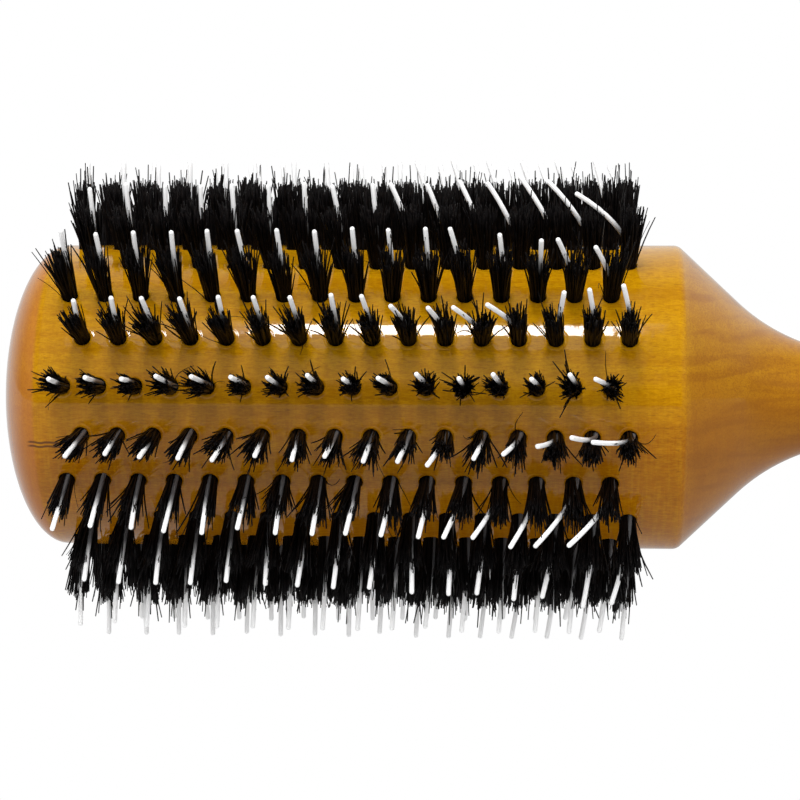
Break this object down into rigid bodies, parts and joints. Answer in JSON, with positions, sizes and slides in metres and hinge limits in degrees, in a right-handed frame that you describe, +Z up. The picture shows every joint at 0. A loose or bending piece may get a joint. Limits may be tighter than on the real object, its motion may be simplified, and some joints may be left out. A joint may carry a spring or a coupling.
{
  "type": "round barrel brush",
  "caption": "Round hair brush: turned, domed wooden barrel flaring into a slim neck and handle, set with staggered rows of boar-bristle tufts, a nylon pin in each tuft.",
  "frame": {"origin": "on the surface the brush lies on, under the middle of its whole length", "axes": "+X along the barrel's axis from the domed end to the handle, +Z up as it lies on two rows of pins"},
  "size_m": [0.231, 0.063, 0.0629],
  "materials": {
    "lacquered_wood": "clear gloss lacquer over honey-coloured wood, grain along the axis",
    "boar_bristle": "natural black bristle, slightly glossy",
    "nylon_pin": "smooth white nylon",
    "anchor_wire": "flat drawn wire"
  },
  "bodies": {
    "root": {"wooden_body": "lacquered_wood", "bristle_row_01": "boar_bristle", "bristle_row_02": "boar_bristle", "bristle_row_03": "boar_bristle", "bristle_row_04": "boar_bristle", "bristle_row_05": "boar_bristle", "bristle_row_06": "boar_bristle", "bristle_row_07": "boar_bristle", "bristle_row_08": "boar_bristle", "bristle_row_09": "boar_bristle", "bristle_row_10": "boar_bristle", "bristle_row_11": "boar_bristle", "bristle_row_12": "boar_bristle", "bristle_row_13": "boar_bristle", "bristle_row_14": "boar_bristle", "bristle_row_15": "boar_bristle", "bristle_row_16": "boar_bristle", "bristle_row_17": "boar_bristle", "bristle_row_18": "boar_bristle", "bristle_row_19": "boar_bristle", "bristle_row_20": "boar_bristle"}
  },
  "joints": []
}
